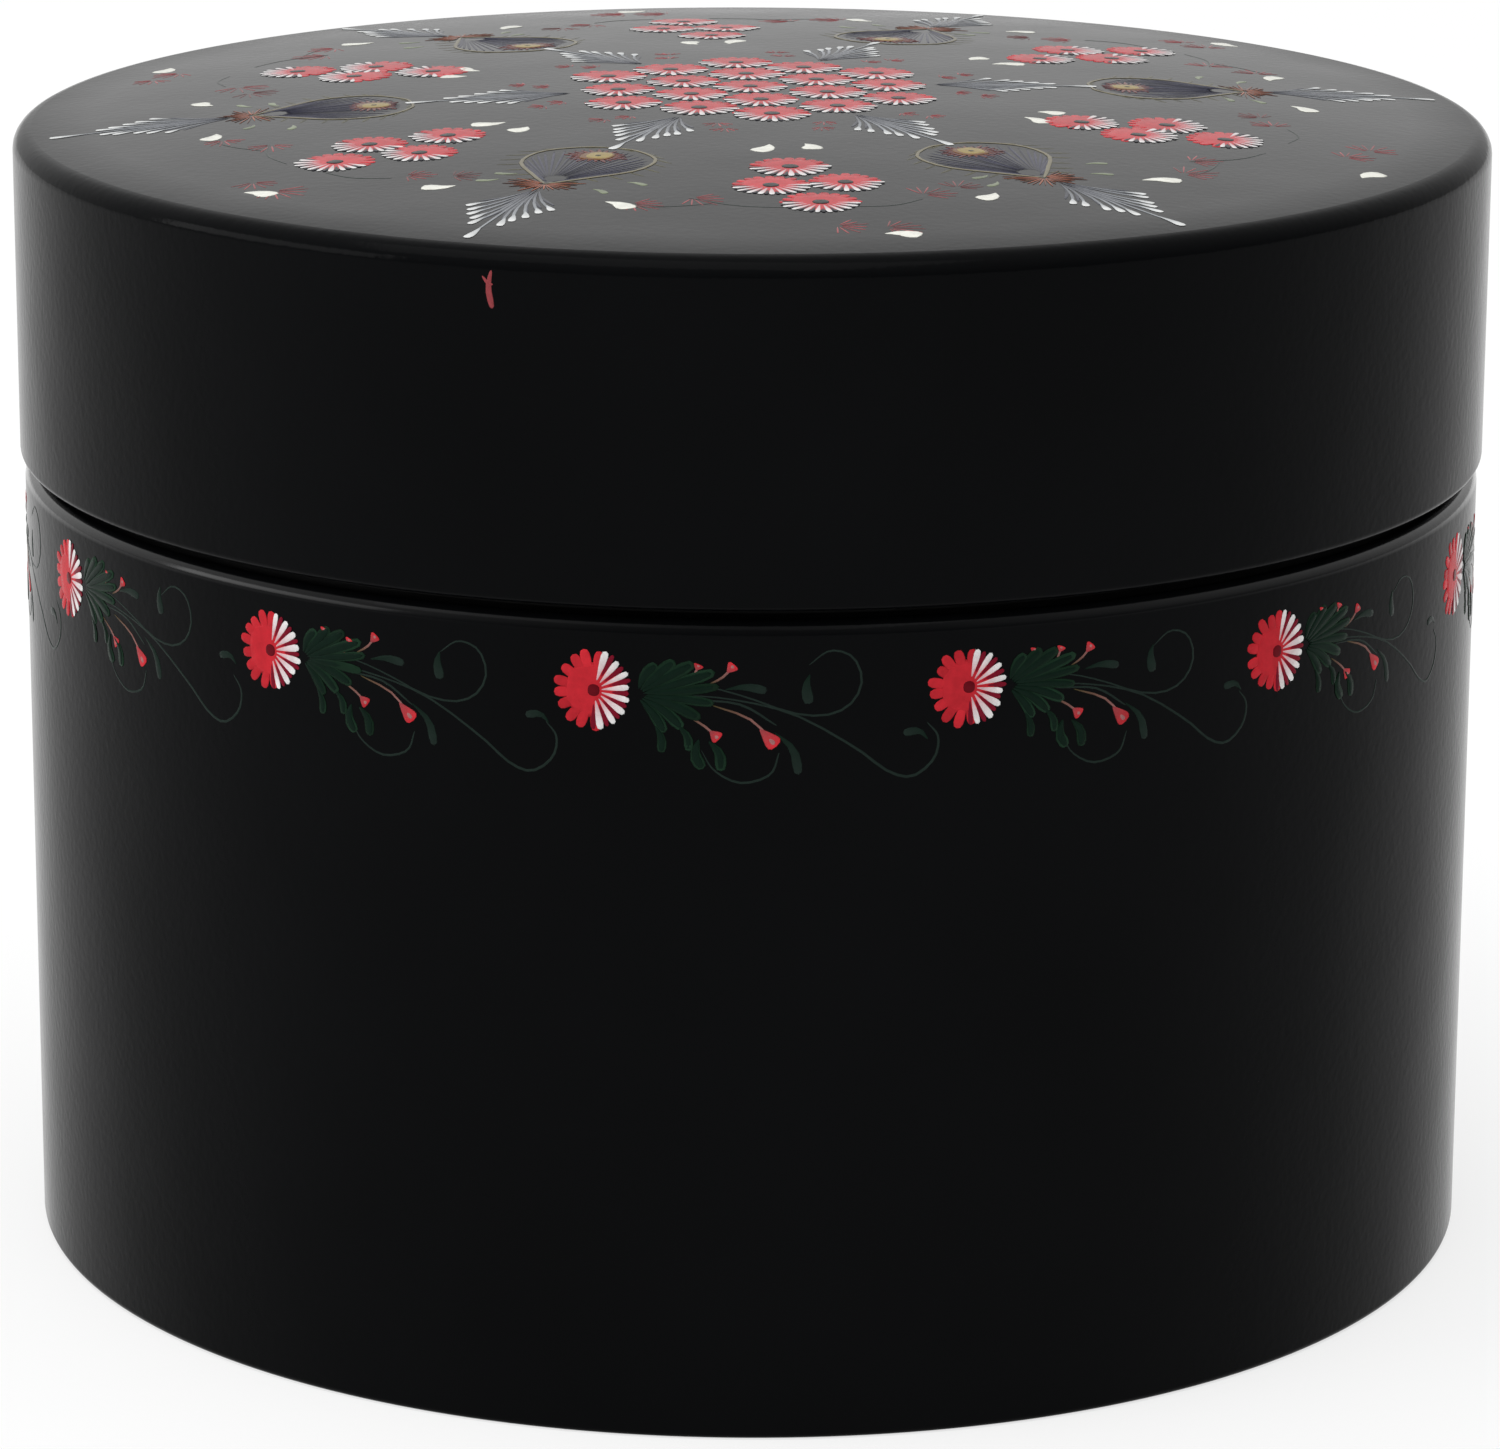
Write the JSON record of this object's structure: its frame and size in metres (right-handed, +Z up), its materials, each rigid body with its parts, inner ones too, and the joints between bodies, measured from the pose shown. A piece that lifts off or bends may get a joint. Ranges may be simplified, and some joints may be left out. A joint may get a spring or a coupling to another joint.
{
  "type": "round lacquered wooden box with lid",
  "caption": "Round box of black-lacquered wood with a domed slip-over lid on a raised inner neck, painted with flower ornament.",
  "frame": {"origin": "centre of the ring that the box stands on, on the table", "axes": "+Z up along the axis of the box, out through the lid; -Y is the side that faces the viewer"},
  "size_m": [0.2, 0.2, 0.1571],
  "materials": {
    "black_lacquer": "polished black lacquer over wood",
    "inner_lacquer": "satin black lacquer over wood",
    "bamboo": "bare split bamboo",
    "painted_ornament": "brushed enamel colours under varnish"
  },
  "bodies": {
    "body": {"body_hoop": "black_lacquer", "neck_liner": "inner_lacquer", "base_board": "inner_lacquer", "base_pegs": "bamboo"},
    "lid": {"lid_hoop": "black_lacquer", "lid_board": "black_lacquer", "lid_pegs": "bamboo"}
  },
  "joints": [
    {"name": "lid_lift", "type": "slide", "parent": "body", "child": "lid", "axis": [0, 0, 1], "range_m": [0, 0.12]}
  ]
}
